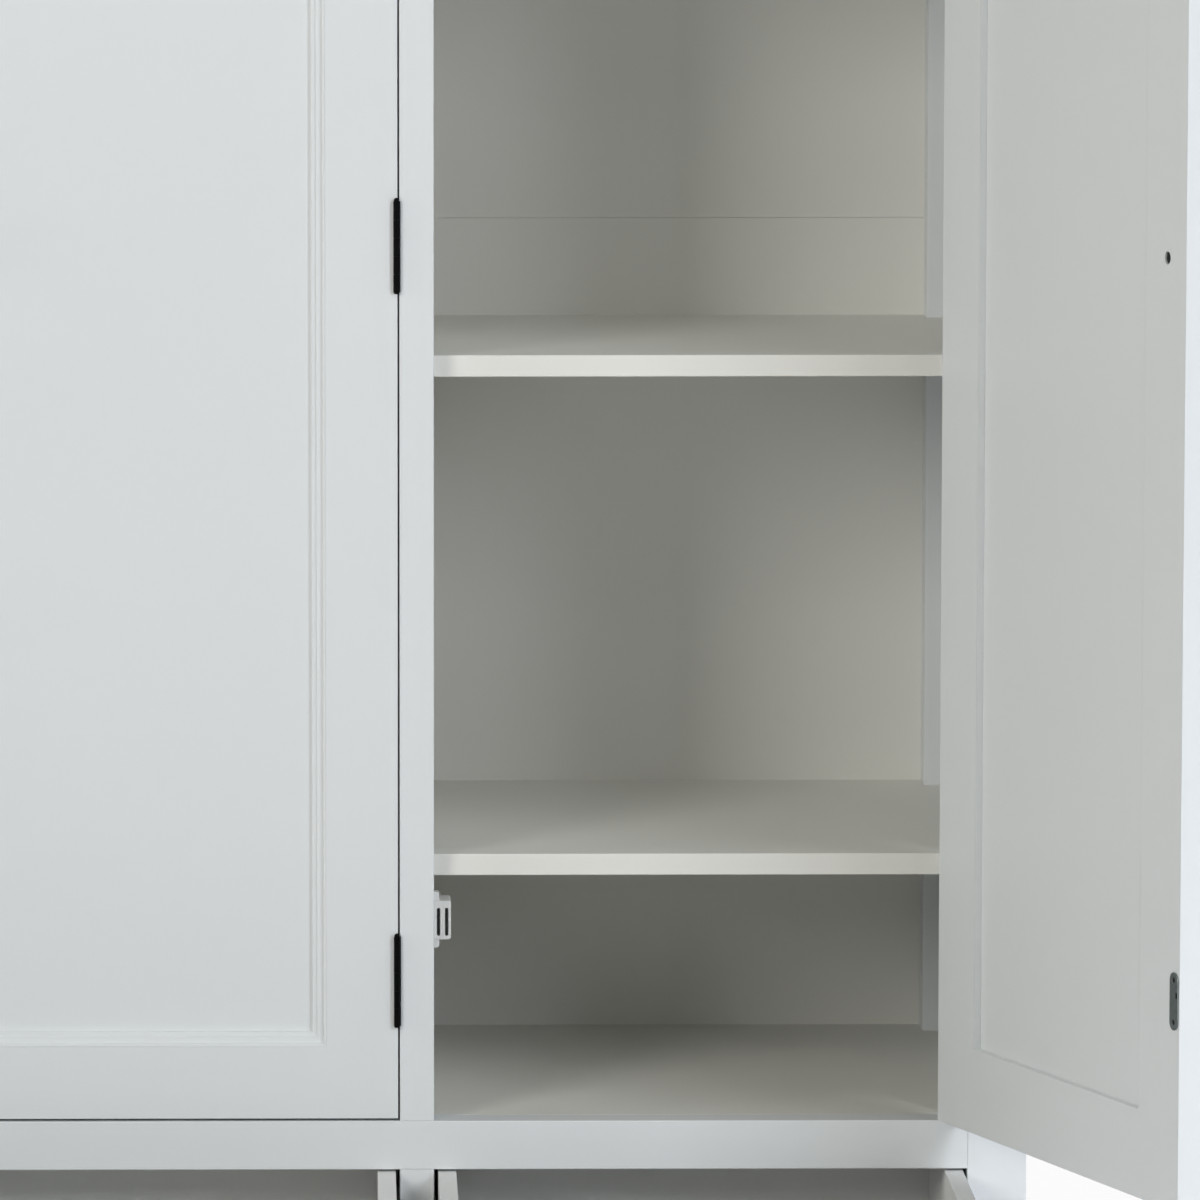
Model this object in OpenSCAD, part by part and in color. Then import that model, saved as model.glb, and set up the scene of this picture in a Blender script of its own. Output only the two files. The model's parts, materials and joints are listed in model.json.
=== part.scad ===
// Three-door wardrobe with two drawers: painted frame-and-panel joinery.
// Millimetres. X to the right, front faces -Y, Z up. The origin is on the floor,
// at the centre of the carcass footprint.

/* [Carcass] */
// Width across the outer faces of the posts
body_w = 1460; // [1300:10:1700]
// Depth from the front face of the posts to the back face
body_d = 500; // [440:10:600]
// Height of the plinth, which is also the underside of the bottom rail
plinth_h = 95; // [70:5:140]
// Height of the bottom rail
bottom_rail_h = 30; // [22:1:45]
// Clear height of the drawer openings
drawer_open_h = 196; // [150:2:260]
// Height of the rail between the drawers and the doors
mid_rail_h = 41; // [32:1:60]
// Clear height of the door openings
door_open_h = 1458; // [1250:1:1600]
// Height of the rail above the doors
top_rail_h = 60; // [45:1:90]
// Thickness of the roof board
roof_t = 20; // [16:1:30]

/* [Posts and rails] */
// Face width of the two front posts
post_w = 49; // [38:1:70]
// Depth of the two front posts
post_d = 45; // [38:1:60]
// Face width of the two back posts
back_post_w = 53; // [50:1:80]
// Depth of the two back posts
back_post_d = 46; // [36:1:60]
// Face width of the mullions
mullion_w = 28.5; // [24:0.5:45]
// Depth of the mullions
mullion_d = 60; // [58:1:80]
// Depth of the front rails
rail_d = 30; // [26:1:36]
// Radius of the eased edges of posts, rails and shelves
ease_r = 0.8; // [0.5:0.1:2]
// Thickness of the two rails along the back
back_rail_t = 22; // [16:1:30]

/* [Sides, back and partitions] */
// Thickness of the side rails
side_t = 22; // [18:1:26]
// Height of the top, middle and bottom side rails
side_rail_h = 78; // [60:1:110]
// How far the bottom side rails reach below the top of the plinth
side_rail_drop = 30; // [10:1:60]
// Thickness of the side panels
side_panel_t = 9; // [6:1:10]
// How far the side panels lie behind the outer face
side_panel_in = 7; // [5:0.5:9]
// How far a panel runs into its groove
tongue = 6; // [4:0.5:8]
// Thickness of the back sheets
back_t = 11; // [6:1:14]
// How far the back sheets lap into the back posts
back_lap = 15; // [8:1:25]
// Height of the joint between the back sheets above the bay floor
back_joint_h = 724; // [500:1:900]
// Width of the open line between the two back sheets
back_joint_gap = 0.1; // [0.1:0.1:1.5]
// Thickness of the partition and of the drawer divider
partition_t = 12; // [9:1:18]
// Thickness of the bay floor and of the base board
floor_t = 18; // [15:1:22]

/* [Shelves and hanging rail] */
// Thickness of the shelves
shelf_t = 18; // [15:1:24]
// Height of the first shelf top above the bay floor
shelf_first = 221; // [205:0.5:320]
// Distance from one shelf top to the next
shelf_pitch = 416.5; // [330:0.5:420]
// How far the shelf fronts lie behind the front face
shelf_set = 24; // [24:1:32]
// Height of the shelf cleats
cleat_h = 22; // [16:1:30]
// Thickness of the cleats
cleat_t = 12; // [8:1:16]
// How far the shelves are let into the partition
shelf_housing = 4; // [2:0.5:4]
// Height of the hat shelf top above the bay floor
hat_shelf_h = 1190; // [1000:5:1215]
// Height of the deep cleats that carry the hat shelf and the hanging rail
hat_cleat_h = 95; // [85:1:120]
// Outer diameter of the hanging rail
hang_d = 25; // [20:1:30]
// Wall of the hanging rail
hang_wall = 1.5; // [1:0.1:3]
// Height of the hanging rail centre below the hat shelf
hang_drop = 60; // [50:1:65]

/* [Doors] */
// Thickness of a door
door_t = 22; // [20:0.5:23]
// Gap at the sides of a door
door_gap = 1.4; // [1.2:0.1:3]
// Gap below a door
door_gap_low = 2.2; // [1.6:0.1:3]
// Gap above a door
door_gap_high = 2.5; // [1.6:0.1:4]
// Gap between the pair of doors
meet_gap = 3; // [2:0.1:4]
// Width of the stiles and rails of a door, on the inner face
member_w = 69.5; // [66:0.5:90]
// Width of the members on the outer face, in front of the panel rebate
member_flat = 59.8; // [52:0.1:62]
// How much wider the rails are than the stiles
rail_extra = 1.2; // [0:0.1:20]
// How far the panel lies behind the outer face
panel_in = 10; // [7:0.5:10.5]
// Thickness of the door panel
panel_t = 6; // [4:0.5:9]
// Rest angle of the open right door
right_door_rest = 110.5; // [0:0.1:115]
// Height of the knobs above the door bottom
knob_h = 742; // [650:1:850]
// Distance of the knobs from the free edge
knob_in = 32; // [28:1:45]

/* [Panel moulding] */
// Width of the moulding
moulding_w = 10.1; // [9:0.1:14]
// Depth of the bead behind the outer face
bead_drop = 2.8; // [1.2:0.1:3]
// Radius of the rounded edge of the bead
bead_r = 3; // [2:0.1:3]
// Width of the slope from the outer face to the bead
slope_w = 3; // [2:0.1:4]
// Width of the thin fillet beside the bead
fillet_w = 2; // [1:0.1:3]
// Height of the thin fillet above the panel
fillet_h = 3.4; // [2:0.1:4.5]

/* [Hinges] */
// Length of a hinge
hinge_h = 75; // [60:1:100]
// Distance of the end hinges from the door ends, to their centres
hinge_end = 115.5; // [90:0.5:180]
// Number of knuckles in a hinge
knuckles = 5; // [3:2:7]
// Radius of the knuckles
knuckle_r = 2.65; // [2.55:0.05:3]
// Radius of the pins
pin_r = 1.4; // [1.1:0.1:1.5]
// Running clearance of a pin in its knuckles
pin_fit = 0.05; // [0.03:0.01:0.08]
// Gap between two knuckles
knuckle_gap = 0.25; // [0.2:0.05:0.4]
// Thickness of a hinge leaf
leaf_t = 1.6; // [1.2:0.1:1.6]
// Depth of a hinge leaf into the door thickness
leaf_w = 18; // [14:1:19]
// Distance of the pin from the hinge edge of the door
pin_in = 0.8; // [0.7:0.1:1.1]
// Distance between a knuckle and the face that it stands on
knuckle_clear = 0.3; // [0.2:0.05:0.5]
// Gap between the two leaves of a closed hinge
leaf_gap = 0.2; // [0.15:0.05:0.3]

/* [Drawers] */
// Thickness of a drawer front
front_t = 20; // [18:1:24]
// Gap around a drawer front
front_gap = 2; // [1.5:0.1:3]
// Thickness of the drawer sides
drawer_side_t = 15; // [12:0.5:18]
// Gap between a drawer side and the opening
drawer_side_gap = 3.5; // [3:0.1:5]
// Length of a drawer from its front face to its back end
drawer_l = 450; // [380:5:455]
// How far the drawers stand open
drawer_rest = 260; // [0:5:300]
// Thickness of the drawer backs
drawer_back_t = 12; // [10:1:18]
// Thickness of the drawer bottoms
drawer_bottom_t = 6; // [4:1:9]
// Height of the drawer bottom above the lower edge of the sides
drawer_bottom_up = 12; // [10:1:20]
// How far the bottom and the back run into the sides
drawer_groove = 5; // [3:0.5:7]
// Thickness left in front of the dovetails
dovetail_lap = 6; // [5:0.5:8]
// Number of dovetails at a corner
dovetails = 4; // [3:1:6]
// Slope of a dovetail in degrees
dovetail_slope = 9.5; // [7:0.5:12]
// Height of the runner strips under the drawer sides
runner_h = 6; // [4:1:10]
// Width of the runner strips
runner_w = 20; // [16:1:28]
// Height of the guide strips beside the drawers
guide_h = 25; // [16:1:40]
// Sliding clearance of the drawers
slide_fit = 0.4; // [0.3:0.05:0.8]

/* [Knobs and catches] */
// Diameter of a knob
knob_d = 30; // [24:1:36]
// Height of a knob above the face
knob_out = 27; // [22:1:34]
// Diameter of the collar at the foot of a knob
knob_foot_d = 20; // [16:1:24]
// Radius of the stud of a knob
stud_r = 2.5; // [2:0.1:3]
// Radius of the recess that takes the end of the stud
stud_recess_r = 5; // [4:0.1:6]
// Height of the catch centre above the bay floor
catch_z = 165.3; // [120:0.1:175]
// Height of the flange of a catch
catch_flange_h = 46.8; // [40:0.1:56]
// Thickness of the flange of a catch
catch_flange_t = 4.7; // [3:0.1:5]
// Depth of the flange of a catch
catch_flange_d = 10; // [6:0.5:16]
// Height of the body of a catch
catch_h = 32.5; // [30:0.5:38]
// Width of a catch from its mounting face
catch_w = 14.4; // [12:0.1:18]
// Depth of a catch
catch_d = 32; // [20:0.5:33]
// Width of the keeper plates on the doors
keeper_w = 13.4; // [10:0.1:14]
// Height of the keeper plates
keeper_h = 45.4; // [42:0.1:50]
// Thickness of the keeper plates
keeper_t = 1.2; // [1:0.1:1.5]
// Height of the raised middle of a keeper plate
keeper_raise = 0.3; // [0.2:0.1:0.6]
// Distance of the single keeper from the free edge of its door
keeper_in = 1.2; // [1:0.1:4]
// Distance between the screw holes of a keeper
keeper_holes = 33; // [28:0.5:34]
// Height of the raised land between those holes
keeper_land = 25.4; // [20:0.1:26]
// Width of the block that carries the pair of catches
catch_block_w = 24; // [18:1:40]

/* [Plinth and cornice] */
// Thickness of the plinth boards
plinth_t = 15; // [12:1:20]
// Radius of the rounded top edge of the plinth
plinth_r = 8; // [4:0.5:10]
// Width of the bearer under the middle of the base board
bearer_w = 20; // [16:1:40]
// Height of the cornice
cornice_h = 62; // [50:1:75]
// Reach of the cornice beyond the carcass
cornice_out = 32; // [24:1:45]

/* [Hidden] */
$fn = 64;

// Colours
paint = [0.90, 0.91, 0.91];
paint_inside = [0.85, 0.85, 0.83];
black_metal = [0.06, 0.06, 0.07];
bright_steel = [0.72, 0.73, 0.74];
white_plastic = [0.93, 0.93, 0.92];
raw_wood = [0.80, 0.74, 0.64];

// Levels, from the floor up
z_base = plinth_h + bottom_rail_h;
z_mid = z_base + drawer_open_h;
z_floor = z_mid + mid_rail_h;
z_head = z_floor + door_open_h;
z_top = z_head + top_rail_h;
z_all = z_top + roof_t;

// Places across the front
half_w = body_w / 2;
door_w = (body_w - 2 * post_w - mullion_w - 4 * door_gap - meet_gap) / 3;
x_left = -half_w + post_w;
x_right = half_w - post_w;
x_mull_l = x_left + 2 * door_w + 2 * door_gap + meet_gap;
x_mull_r = x_mull_l + mullion_w;
x_mull = (x_mull_l + x_mull_r) / 2;
x_meet = x_left + door_gap + door_w + meet_gap / 2;
x_side = half_w - side_t;
x_back_post = half_w - back_post_w;

// Depths behind the front face
y_back = body_d - back_t;
y_back_post = body_d - back_post_d;
y_back_rail = y_back - back_rail_t;

// Doors
door_h = door_open_h - door_gap_low - door_gap_high;
panel_z = panel_in + panel_t;
panel_edge_gap = 0.3;
mitre_gap = 0.05;
moulding_fit = 0.02;
pin_out = knuckle_r + knuckle_clear;
hinge_levels = [hinge_end, door_h / 2, door_h - hinge_end];
knuckle_pitch = hinge_h / knuckles;
leaf_let_in = (2 * leaf_t + leaf_gap - door_gap) / 2;

// Shelves
shelf_levels = [shelf_first, shelf_first + shelf_pitch, shelf_first + 2 * shelf_pitch];
hang_z = z_floor + hat_shelf_h - shelf_t - hang_drop;
hang_back = 10;
hang_y = body_d / 2 + hang_back;
socket_foot_t = 4;
socket_cup_l = 12;
socket_wall = 2.5;
socket_fit = 0.3;

// Drawers
side_low = z_base + runner_h + slide_fit;
side_high = z_mid - front_gap;
front_low = z_base + front_gap;
tail_l = front_t - dovetail_lap;

// Boards start at the front face and lie in the carcass frame
module in_carcass() {
    translate([0, -body_d / 2, 0]) children();
}

// A board given by its low and high corners
module board(low, high) {
    translate(low) cube(high - low);
}

// Rectangle from corner to corner with eased corners, as a section
module eased_section(low, high, r = ease_r) {
    size = high - low;
    translate(low) union() {
        translate([r, 0]) square([size[0] - 2 * r, size[1]]);
        translate([0, r]) square([size[0], size[1] - 2 * r]);
        for (x = [r, size[0] - r])
            for (y = [r, size[1] - r])
                translate([x, y]) circle(r);
    }
}

// Upright with eased edges
module upright(low, high) {
    translate([0, 0, low[2]])
        linear_extrude(high[2] - low[2])
            eased_section([low[0], low[1]], [high[0], high[1]]);
}

// Board along X with eased long edges
module lengthwise(low, high) {
    translate([low[0], 0, 0])
        rotate([90, 0, 90])
            linear_extrude(high[0] - low[0])
                eased_section([low[1], low[2]], [high[1], high[2]]);
}

// Posts

// Space of one side panel, from post to post, with its tongues
module side_panel_space(side, low, high, extra = 0) {
    x0 = half_w - side_panel_in - side_panel_t;
    mirror([side < 0 ? 1 : 0, 0, 0])
        board([x0, post_d - tongue - extra, low - tongue - extra],
              [x0 + side_panel_t, y_back_post + tongue + extra, high + tongue + extra]);
}

// Levels of the side rails and of the panels between them
side_rail_low = plinth_h - side_rail_drop;
side_rail_mid = z_floor - side_rail_h;
side_rail_top = z_top - side_rail_h;
side_panel_levels = [
    [side_rail_low + side_rail_h, side_rail_mid],
    [side_rail_mid + side_rail_h, side_rail_top]
];

module side_panel_spaces(side, extra = 0) {
    for (level = side_panel_levels)
        side_panel_space(side, level[0], level[1], extra);
}

// Mortises of the hinges of one door in whatever stands beside it
module frame_mortises(door) {
    door_place(door)
        for (z = hinge_levels)
            translate([-door_gap - leaf_let_in, -1, z - hinge_h / 2])
                cube([leaf_let_in + 1, leaf_w + 1, hinge_h]);
}

module front_post(side) {
    door = side < 0 ? 0 : 2;
    difference() {
        in_carcass()
            mirror([side < 0 ? 1 : 0, 0, 0])
                upright([x_right, 0, 0], [half_w, post_d, z_top]);
        in_carcass() side_panel_spaces(side, panel_edge_gap);
        frame_mortises(door);
    }
}

module back_post(side) {
    difference() {
        in_carcass()
            mirror([side < 0 ? 1 : 0, 0, 0])
                upright([x_back_post, y_back_post, 0], [half_w, body_d, z_top]);
        in_carcass() side_panel_spaces(side, panel_edge_gap);
        in_carcass()
            mirror([side < 0 ? 1 : 0, 0, 0])
                board([x_back_post - 1, y_back, side_rail_low],
                      [x_back_post + back_lap, body_d + 1, z_top + 1]);
    }
}

module left_front_post() { color(paint) front_post(-1); }
module right_front_post() { color(paint) front_post(1); }
module left_back_post() { color(paint) back_post(-1); }
module right_back_post() { color(paint) back_post(1); }

// Front rails and mullions

module door_mullion() {
    color(paint)
        difference() {
            in_carcass()
                upright([x_mull_l, 0, z_floor], [x_mull_r, mullion_d, z_head]);
            frame_mortises(1);
        }
}

module drawer_mullion() {
    color(paint) in_carcass()
        upright([x_mull_l, 0, z_base], [x_mull_r, mullion_d, z_mid]);
}

module front_rail(low, high) {
    in_carcass() lengthwise([x_left, 0, low], [x_right, rail_d, high]);
}

// Block behind the top rail that carries the catches of the pair of doors
catch_block_drop = 56;
catch_block_rise = 45;
catch_block_d = 28;

module catch_block() {
    in_carcass()
        board([x_meet - catch_block_w / 2, rail_d, z_head - catch_block_drop],
              [x_meet + catch_block_w / 2, rail_d + catch_block_d, z_head + catch_block_rise]);
}

module top_rail() {
    color(paint) {
        front_rail(z_head, z_top);
        catch_block();
    }
}

module mid_rail() { color(paint) front_rail(z_mid, z_floor); }
module bottom_rail() { color(paint) front_rail(plinth_h, z_base); }

module back_rails() {
    color(paint_inside) in_carcass() {
        board([-x_back_post, y_back_rail, side_rail_low], [x_back_post, y_back, z_base - floor_t]);
        board([-x_back_post, y_back_rail, z_head], [x_back_post, y_back, z_top]);
    }
}

// Sides

module side_frame(side) {
    difference() {
        in_carcass()
            mirror([side < 0 ? 1 : 0, 0, 0])
                for (z = [side_rail_low, side_rail_mid, side_rail_top])
                    board([x_side, post_d, z], [half_w, y_back_post, z + side_rail_h]);
        in_carcass() side_panel_spaces(side, panel_edge_gap);
    }
    in_carcass() side_panel_spaces(side);
}

module left_side() { color(paint) side_frame(-1); }
module right_side() { color(paint) side_frame(1); }

// Partitions and back

// Housing for one shelf in the face of the partition on the given side
module shelf_slot(side, top) {
    x_face = x_mull + side * partition_t / 2;
    board([min(x_face, x_face - side * shelf_housing), 0, top - shelf_t],
          [max(x_face, x_face - side * shelf_housing), body_d, top]);
}

module bay_partition() {
    color(paint_inside) in_carcass()
        difference() {
            board([x_mull - partition_t / 2, mullion_d, z_floor],
                  [x_mull + partition_t / 2, y_back, z_top]);
            board([x_mull - partition_t, y_back_rail, z_head], [x_mull + partition_t, body_d, z_top + 1]);
            for (level = shelf_levels)
                shelf_slot(1, z_floor + level);
            shelf_slot(-1, z_floor + hat_shelf_h);
        }
}

module drawer_divider() {
    color(paint_inside) in_carcass()
        board([x_mull - partition_t / 2, mullion_d, z_base],
              [x_mull + partition_t / 2, y_back, z_floor - floor_t]);
}

module back_sheet(low, high) {
    reach = x_back_post + back_lap - panel_edge_gap;
    in_carcass() board([-reach, y_back, low], [reach, body_d, high]);
}

module back_sheet_upper() {
    color(paint_inside) back_sheet(z_floor + back_joint_h + back_joint_gap / 2, z_top);
}

module back_sheet_lower() {
    color(paint_inside) back_sheet(side_rail_low, z_floor + back_joint_h - back_joint_gap / 2);
}

// Floors, shelves and roof

// Horizontal board between the sides, cut round the posts
module floor_board(top) {
    in_carcass()
        difference() {
            board([-x_side, rail_d, top - floor_t], [x_side, y_back, top]);
            for (side = [0, 1])
                mirror([side, 0, 0]) {
                    board([x_right, 0, top - 2 * floor_t], [half_w, post_d, top + 1]);
                    board([x_back_post, y_back_post, top - 2 * floor_t], [half_w, body_d, top + 1]);
                }
        }
}

module bay_floor() { color(paint_inside) floor_board(z_floor); }
module base_board() { color(paint_inside) floor_board(z_base); }

// Shelf with an eased front edge, from x0 to x1, cut round mullion and posts
module shelf_board(x0, x1, top) {
    in_carcass()
        difference() {
            union() {
                lengthwise([x0, shelf_set, top - shelf_t], [x1, y_back - 2, top]);
                board([x0, y_back - 10, top - shelf_t], [x1, y_back, top]);
            }
            board([x_mull_l, 0, top - 2 * shelf_t], [x_mull_r, mullion_d, top + 1]);
            for (side = [0, 1])
                mirror([side, 0, 0]) {
                    board([x_right, 0, top - 2 * shelf_t], [half_w, post_d, top + 1]);
                    board([x_back_post, y_back_post, top - 2 * shelf_t], [half_w, body_d, top + 1]);
                }
        }
}

module bay_shelf(index) {
    color(paint_inside)
        shelf_board(x_mull + partition_t / 2 - shelf_housing, x_side, z_floor + shelf_levels[index]);
}

module shelf_low() { bay_shelf(0); }
module shelf_middle() { bay_shelf(1); }
module shelf_high() { bay_shelf(2); }

module hat_shelf() {
    color(paint_inside)
        shelf_board(-x_side, x_mull - partition_t / 2 + shelf_housing, z_floor + hat_shelf_h);
}

// Cleats from post to post along the side, and deep ones for hat shelf and hanging rail
module shelf_cleats() {
    color(paint_inside) in_carcass() {
        for (level = shelf_levels) {
            z = z_floor + level - shelf_t;
            board([x_side - cleat_t, post_d, z - cleat_h], [x_side, y_back_post, z]);
        }
        z_hat = z_floor + hat_shelf_h - shelf_t;
        board([x_mull - partition_t / 2 - cleat_t, mullion_d, z_hat - hat_cleat_h],
              [x_mull - partition_t / 2, y_back, z_hat]);
        board([-x_side, post_d, z_hat - hat_cleat_h], [-x_side + cleat_t, y_back_post, z_hat]);
    }
}

module roof_board() {
    color(paint) in_carcass()
        board([-half_w, 0, z_top], [half_w, body_d, z_all]);
}

// Hanging rail and its sockets

hang_x0 = -x_side + cleat_t;
hang_x1 = x_mull - partition_t / 2 - cleat_t;

module hanging_rail() {
    color(bright_steel) in_carcass()
        translate([hang_x0 + socket_foot_t + socket_fit, hang_y, hang_z])
            rotate([0, 90, 0])
                difference() {
                    length = hang_x1 - hang_x0 - 2 * socket_foot_t - 2 * socket_fit;
                    cylinder(r = hang_d / 2, h = length);
                    translate([0, 0, -1]) cylinder(r = hang_d / 2 - hang_wall, h = length + 2);
                }
}

// Cup on a round foot, open towards +Z
module rail_socket() {
    cup_r = hang_d / 2 + socket_fit + socket_wall;
    difference() {
        union() {
            cylinder(r = cup_r + 7, h = socket_foot_t);
            cylinder(r = cup_r, h = socket_foot_t + socket_cup_l);
        }
        translate([0, 0, socket_foot_t]) cylinder(r = hang_d / 2 + socket_fit, h = socket_cup_l + 1);
    }
}

module rail_sockets() {
    color(bright_steel) in_carcass() {
        translate([hang_x0, hang_y, hang_z]) rotate([0, 90, 0]) rail_socket();
        translate([hang_x1, hang_y, hang_z]) rotate([0, -90, 0]) rail_socket();
    }
}

// Drawer runners, guides and kickers

// Left and right edge of one drawer opening: 0 is the wide one, 1 the narrow one
function drawer_span(index) = index == 0 ? [x_left, x_mull_l] : [x_mull_r, x_right];
// Faces beside the drawer spaces, behind the posts and the mullion
function drawer_walls(index) = index == 0
    ? [-x_side, x_mull - partition_t / 2]
    : [x_mull + partition_t / 2, x_side];

module drawer_runners() {
    color(raw_wood) in_carcass()
        for (index = [0, 1]) {
            span = drawer_span(index);
            walls = drawer_walls(index);
            box_l = span[0] + drawer_side_gap;
            box_r = span[1] - drawer_side_gap;
            board([box_l, mullion_d, z_base], [box_l + runner_w, y_back_post, z_base + runner_h]);
            board([box_r - runner_w, mullion_d, z_base], [box_r, y_back_post, z_base + runner_h]);
            board([walls[0], mullion_d, z_base], [box_l - slide_fit, y_back_post, z_base + guide_h]);
            board([box_r + slide_fit, mullion_d, z_base], [walls[1], y_back_post, z_base + guide_h]);
            board([box_l, mullion_d, z_mid], [box_l + runner_w, y_back_post, z_floor - floor_t]);
            board([box_r - runner_w, mullion_d, z_mid], [box_r, y_back_post, z_floor - floor_t]);
        }
}

// Magnetic catches

pole_t = 1.5;
pole_out = 0.3;
slot_r = 1.4;
slot_h = catch_h * 0.72;
slot_drop = 1.5;
catch_front = door_t + keeper_t + keeper_raise + pole_out + 0.3;

// Slots of a catch that stands against the plane x = 0, centred on z = 0
module catch_slots() {
    for (x = [0.28, 0.75])
        translate([catch_w * x, catch_front - 1, -slot_drop]) rotate([-90, 0, 0])
            linear_extrude(9)
                union() {
                    square([2 * slot_r, slot_h - 2 * slot_r], center = true);
                    for (end = [-1, 1])
                        translate([0, end * (slot_h / 2 - slot_r)]) circle(slot_r);
                }
}

module catch_body() {
    r = 2.2;
    difference() {
        union() {
            translate([0, catch_front, 0]) rotate([-90, 0, 0])
                linear_extrude(catch_d)
                    eased_section([-r, -catch_h / 2], [catch_w, catch_h / 2], r);
            translate([0, catch_front + 2, 0]) rotate([-90, 0, 0])
                linear_extrude(catch_flange_d)
                    eased_section([-r, -catch_flange_h / 2], [catch_flange_t, catch_flange_h / 2], r);
        }
        translate([-2 * r, 0, -catch_flange_h]) cube([2 * r, door_t + 2 * catch_d, 2 * catch_flange_h]);
        catch_slots();
    }
}

module catch_pole_pair() {
    for (x = [0.28, 0.75])
        translate([catch_w * x - pole_t / 2, catch_front - pole_out, -slot_drop - slot_h / 2 + slot_r])
            cube([pole_t, 8 + pole_out, slot_h - 2 * slot_r]);
}

// One catch on the mullion for the right door, two on the block for the pair
module each_catch() {
    in_carcass() {
        translate([x_mull_r, 0, z_floor + catch_z]) children();
        for (side = [0, 1])
            translate([x_meet, 0, z_head - catch_block_drop / 2])
                mirror([side, 0, 0]) translate([catch_block_w / 2, 0, 0]) children();
    }
}

module catch_bodies() { color(white_plastic) each_catch() catch_body(); }
module catch_poles() { color(bright_steel) each_catch() catch_pole_pair(); }

// Doors. A door is drawn with its hinge edge at x = 0, its free edge towards +X,
// its outer face at y = 0 and its lower edge at z = 0.

door_edges = [x_left + door_gap, x_mull_l - door_gap, x_right - door_gap];
door_flips = [0, 1, 1];
door_angles = [0, 0, right_door_rest];
keeper_ins = [
    catch_block_w / 2 + catch_w / 2 - meet_gap / 2,
    catch_block_w / 2 + catch_w / 2 - meet_gap / 2,
    keeper_w / 2 + keeper_in
];
keeper_levels = [
    door_h + door_gap_high - catch_block_drop / 2,
    door_h + door_gap_high - catch_block_drop / 2,
    catch_z
];

module door_place(door) {
    translate([door_edges[door], -body_d / 2, z_floor + door_gap_low])
        mirror([door_flips[door], 0, 0])
            children();
}

// Turns a door about its pins to its rest angle
module door_rest(door) {
    door_place(door)
        translate([pin_in, -pin_out, 0])
            rotate([0, 0, -door_angles[door]])
                translate([-pin_in, pin_out, 0])
                    children();
}

// Section of a stile or rail: outer edge at x = 0, outer face at y = 0, with the
// rebate for the panel open to the front
module member_section(extra = 0) {
    flat = member_flat + extra;
    full = member_w + extra;
    polygon([[0, 0], [flat, 0], [flat, panel_z], [full, panel_z], [full, door_t], [0, door_t]]);
}

module door_stile() {
    linear_extrude(door_h) member_section();
}

module door_stile_pair() {
    door_stile();
    translate([door_w, 0, 0]) mirror([1, 0, 0]) door_stile();
}

// Rail whose ends are coped over the rebates of the stiles
module door_rail() {
    difference() {
        translate([door_w - member_flat, 0, 0])
            rotate([0, -90, 0])
                linear_extrude(door_w - 2 * member_flat) member_section(rail_extra);
        door_stile_pair();
    }
}

module door_frame(door) {
    color(paint) door_rest(door)
        difference() {
            union() {
                door_stile_pair();
                door_rail();
                translate([0, 0, door_h]) mirror([0, 0, 1]) door_rail();
            }
            for (z = hinge_levels)
                translate([-1, -1, z - hinge_h / 2])
                    cube([leaf_let_in + 1, leaf_w + 1, hinge_h]);
            translate([door_w - knob_in, -1, knob_h]) rotate([-90, 0, 0]) {
                cylinder(r = stud_r + 0.1, h = door_t + 2);
                translate([0, 0, door_t - 7]) cylinder(r = stud_recess_r, h = 10);
            }
        }
}

module door_panel(door) {
    x = member_flat + panel_edge_gap;
    z = x + rail_extra;
    color(paint) door_rest(door)
        board([x, panel_in, z], [door_w - x, panel_z, door_h - z]);
}

// Section of the panel moulding: x from the member inwards, y up from the panel
module moulding_section() {
    bead_top = panel_in - bead_drop;
    bead_x = moulding_w - fillet_w - bead_r;
    intersection() {
        square([moulding_w, panel_in]);
        union() {
            square([moulding_w, fillet_h]);
            square([bead_x, bead_top]);
            square([bead_x + bead_r, bead_top - bead_r]);
            translate([bead_x, bead_top - bead_r]) circle(bead_r);
            polygon([
                [0, bead_top - 0.2], [slope_w, bead_top - 0.2], [slope_w, bead_top],
                [0.6, panel_in], [0, panel_in]
            ]);
        }
    }
}

// One mitred length along X, lying on the panel
module moulding_length(length) {
    reach = moulding_w + 1;
    intersection() {
        rotate([90, 0, 90]) linear_extrude(length) moulding_section();
        linear_extrude(panel_in)
            polygon([
                [mitre_gap, 0], [length - mitre_gap, 0],
                [length - reach - mitre_gap, reach], [reach + mitre_gap, reach]
            ]);
    }
}

module door_moulding(door) {
    w = door_w - 2 * (member_flat + moulding_fit);
    h = door_h - 2 * (member_flat + rail_extra + moulding_fit);
    color(paint) door_rest(door)
        translate([door_w / 2, panel_in, door_h / 2])
            rotate([90, 0, 0])
                for (turn = [0 : 3]) {
                    length = turn % 2 == 0 ? w : h;
                    across = turn % 2 == 0 ? h : w;
                    rotate([0, 0, 90 * turn])
                        translate([-length / 2, -across / 2, 0])
                            moulding_length(length);
                }
}

// Hinges. Knuckles 0, 2, 4 belong to the frame leaf and 1, 3 to the door leaf.

module knuckle_ring(index) {
    low = index * knuckle_pitch + (index == 0 ? 0 : knuckle_gap / 2);
    high = (index + 1) * knuckle_pitch - (index == knuckles - 1 ? 0 : knuckle_gap / 2);
    translate([pin_in, -pin_out, low]) cylinder(r = knuckle_r, h = high - low);
}

module pin_bore() {
    translate([pin_in, -pin_out, -1]) cylinder(r = pin_r + pin_fit, h = hinge_h + 2);
}

module knuckle_step(index, x0, x1, y0) {
    low = index * knuckle_pitch + (index == 0 ? 0 : knuckle_gap / 2);
    high = (index + 1) * knuckle_pitch - (index == knuckles - 1 ? 0 : knuckle_gap / 2);
    board([x0, y0, low], [x1, 0.5, high]);
}

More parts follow.
